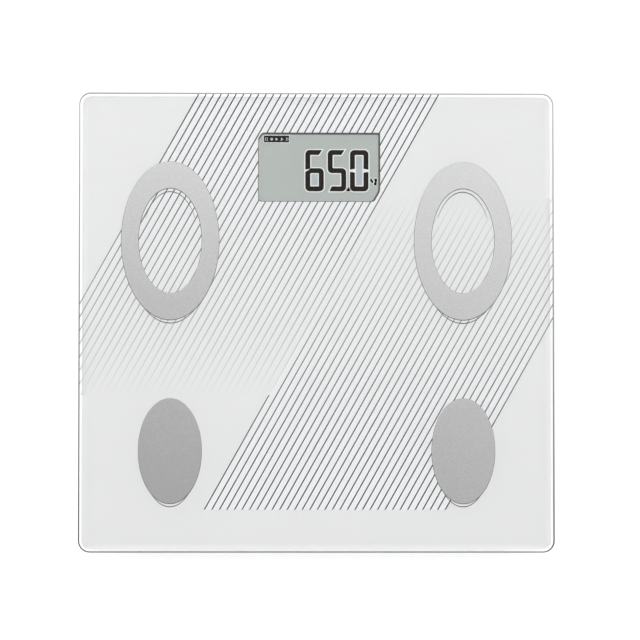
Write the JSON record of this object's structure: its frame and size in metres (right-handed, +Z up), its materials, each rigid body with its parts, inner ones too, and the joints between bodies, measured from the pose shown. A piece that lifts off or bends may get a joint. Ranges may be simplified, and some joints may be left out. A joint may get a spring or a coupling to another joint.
{
  "type": "digital bathroom scale",
  "caption": "Near-square glass-topped digital body-composition scale with steel foot electrodes, a display under the glass, load-cell feet and a battery door underneath.",
  "frame": {"origin": "on the floor, under the middle of the platform", "axes": "+X to the user's right along the longer side, +Y from the heels to the display, +Z up"},
  "size_m": [0.31, 0.3, 0.0254],
  "materials": {
    "clear_glass": "gloss",
    "white_print": "gloss",
    "foam_tape": "matt",
    "lead_insulation": "satin",
    "zinc_steel": "satin",
    "electrode_steel": "satin",
    "contact_steel": "gloss",
    "white_plastic": "satin",
    "cell_wrap": "gloss",
    "rubber_pad": "matt",
    "load_cell_steel": "satin",
    "lcd_face": "gloss",
    "board_green": "satin",
    "black_plastic": "satin",
    "connector_plastic": "satin"
  },
  "bodies": {
    "base": {"base_housing": "white_plastic", "battery_1": "cell_wrap", "battery_2": "cell_wrap", "battery_3": "cell_wrap", "battery_4": "cell_wrap", "battery_contact_minus": "contact_steel", "battery_contact_plus": "contact_steel", "battery_link_left_back": "contact_steel", "battery_link_left_front": "contact_steel", "battery_link_right": "contact_steel", "board_screw_1": "zinc_steel", "board_screw_2": "zinc_steel", "board_screw_3": "zinc_steel", "board_screw_4": "zinc_steel", "circuit_board": "board_green", "edge_tape": "foam_tape", "glass_platform": "clear_glass", "heel_electrode_lead_left": "lead_insulation", "heel_electrode_lead_right": "lead_insulation", "heel_electrode_left": "electrode_steel", "heel_electrode_nut_left": "zinc_steel", "heel_electrode_nut_right": "zinc_steel", "heel_electrode_right": "electrode_steel", "lcd_frame": "white_plastic", "lcd_panel": "lcd_face", "lead_connector": "connector_plastic", "load_cell_back_left": "load_cell_steel", "load_cell_back_right": "load_cell_steel", "load_cell_front_left": "load_cell_steel", "load_cell_front_right": "load_cell_steel", "load_cell_holder_back_left": "white_plastic", "load_cell_holder_back_right": "white_plastic", "load_cell_holder_front_left": "white_plastic", "load_cell_holder_front_right": "white_plastic", "load_cell_lead_back_left": "lead_insulation", "load_cell_lead_back_right": "lead_insulation", "load_cell_lead_front_left": "lead_insulation", "load_cell_lead_front_right": "lead_insulation", "main_chip": "black_plastic", "print_film": "white_print", "toe_electrode_lead_left": "lead_insulation", "toe_electrode_lead_right": "lead_insulation", "toe_electrode_left": "electrode_steel", "toe_electrode_nut_left": "zinc_steel", "toe_electrode_nut_right": "zinc_steel", "toe_electrode_right": "electrode_steel", "unit_switch": "black_plastic", "zebra_strip": "black_plastic"},
    "foot_front_left": {"foot_front_left": "white_plastic", "foot_pad_front_left": "rubber_pad"},
    "foot_front_right": {"foot_front_right": "white_plastic", "foot_pad_front_right": "rubber_pad"},
    "foot_back_left": {"foot_back_left": "white_plastic", "foot_pad_back_left": "rubber_pad"},
    "foot_back_right": {"foot_back_right": "white_plastic", "foot_pad_back_right": "rubber_pad"},
    "battery_door": {"battery_door": "white_plastic"},
    "unit_button": {"unit_button": "white_plastic", "unit_switch_plunger": "black_plastic"}
  },
  "joints": [
    {"name": "foot_slide_front_left", "type": "slide", "parent": "base", "child": "foot_front_left", "axis": [0, 0, 1], "range_m": [0, 0.0005], "stiffness_N_per_m": 1000000, "deforming": ["load_cell_front_left"]},
    {"name": "foot_slide_front_right", "type": "slide", "parent": "base", "child": "foot_front_right", "axis": [0, 0, 1], "range_m": [0, 0.0005], "stiffness_N_per_m": 1000000, "deforming": ["load_cell_front_right"]},
    {"name": "foot_slide_back_left", "type": "slide", "parent": "base", "child": "foot_back_left", "axis": [0, 0, 1], "range_m": [0, 0.0005], "stiffness_N_per_m": 1000000, "deforming": ["load_cell_back_left"]},
    {"name": "foot_slide_back_right", "type": "slide", "parent": "base", "child": "foot_back_right", "axis": [0, 0, 1], "range_m": [0, 0.0005], "stiffness_N_per_m": 1000000, "deforming": ["load_cell_back_right"]},
    {"name": "battery_door_hinge", "type": "hinge", "parent": "base", "child": "battery_door", "pos_m": [0, 0.0528, 0.0061], "axis": [1, 0, 0], "range_deg": [0, 80]},
    {"name": "unit_button_press", "type": "slide", "parent": "base", "child": "unit_button", "axis": [0, 0, 1], "range_m": [0, 0.0005], "stiffness_N_per_m": 2500}
  ]
}
